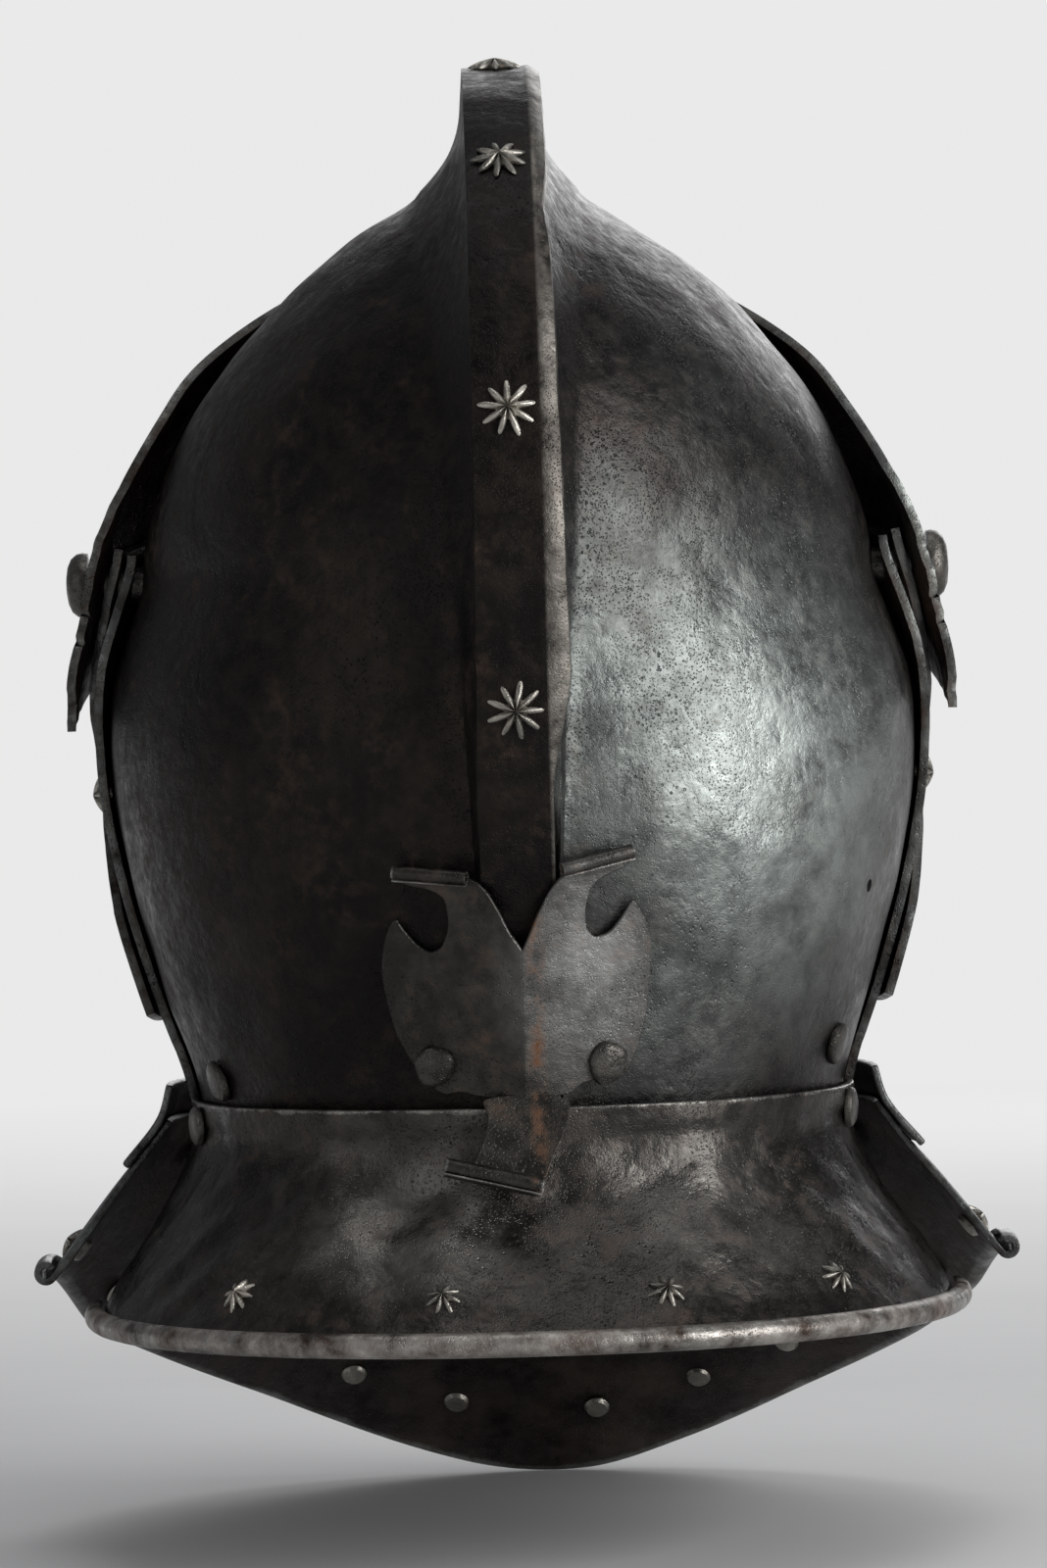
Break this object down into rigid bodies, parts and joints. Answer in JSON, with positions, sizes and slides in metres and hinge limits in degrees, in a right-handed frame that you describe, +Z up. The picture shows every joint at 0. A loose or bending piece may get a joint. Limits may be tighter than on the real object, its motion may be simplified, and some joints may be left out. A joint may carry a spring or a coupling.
{
  "type": "siege helmet",
  "caption": "Siege-weight close helmet with a flat-faced comb, a plume holder and a nape plate; its visor, ventail and bevor swing on two side pivots.",
  "frame": {"origin": "middle of the pivot axis, inside the space that the wearer's head fills", "axes": "+Z up, +Y the way the face looks, +X along the pivot axis to the wearer's right"},
  "size_m": [0.2498, 0.2843, 0.3751],
  "materials": {
    "black_steel": "satin",
    "worn_steel": "satin",
    "bronzed_steel": "satin"
  },
  "bodies": {
    "skull": {"skull_left": "black_steel", "skull_right": "black_steel", "comb_star_rivets": "bronzed_steel", "plume_holder": "black_steel", "plume_holder_rivets": "worn_steel", "nape_plate": "worn_steel", "nape_joining_rivets": "worn_steel", "nape_rosette_rivets": "bronzed_steel", "pivot_rivet_left": "bronzed_steel", "pivot_burr_left": "worn_steel", "pivot_rivet_right": "bronzed_steel", "pivot_burr_right": "worn_steel"},
    "bevor": {"bevor": "black_steel", "bevor_rosette_rivets": "bronzed_steel", "neck_lame": "black_steel", "neck_lame_rivets": "worn_steel", "gorget_front": "black_steel", "gorget_rosette_rivets": "bronzed_steel"},
    "ventail": {"ventail": "black_steel", "ventail_peg": "worn_steel"},
    "visor": {"visor": "black_steel", "visor_peg": "worn_steel"}
  },
  "joints": [
    {"name": "bevor_pivot", "type": "hinge", "parent": "skull", "child": "bevor", "pos_m": [0, 0, 0], "axis": [1, 0, 0], "range_deg": [0, 30]},
    {"name": "ventail_pivot", "type": "hinge", "parent": "bevor", "child": "ventail", "pos_m": [0, 0, 0], "axis": [1, 0, 0], "range_deg": [0, 15]},
    {"name": "visor_pivot", "type": "hinge", "parent": "ventail", "child": "visor", "pos_m": [0, 0, 0], "axis": [1, 0, 0], "range_deg": [0, 15]}
  ]
}
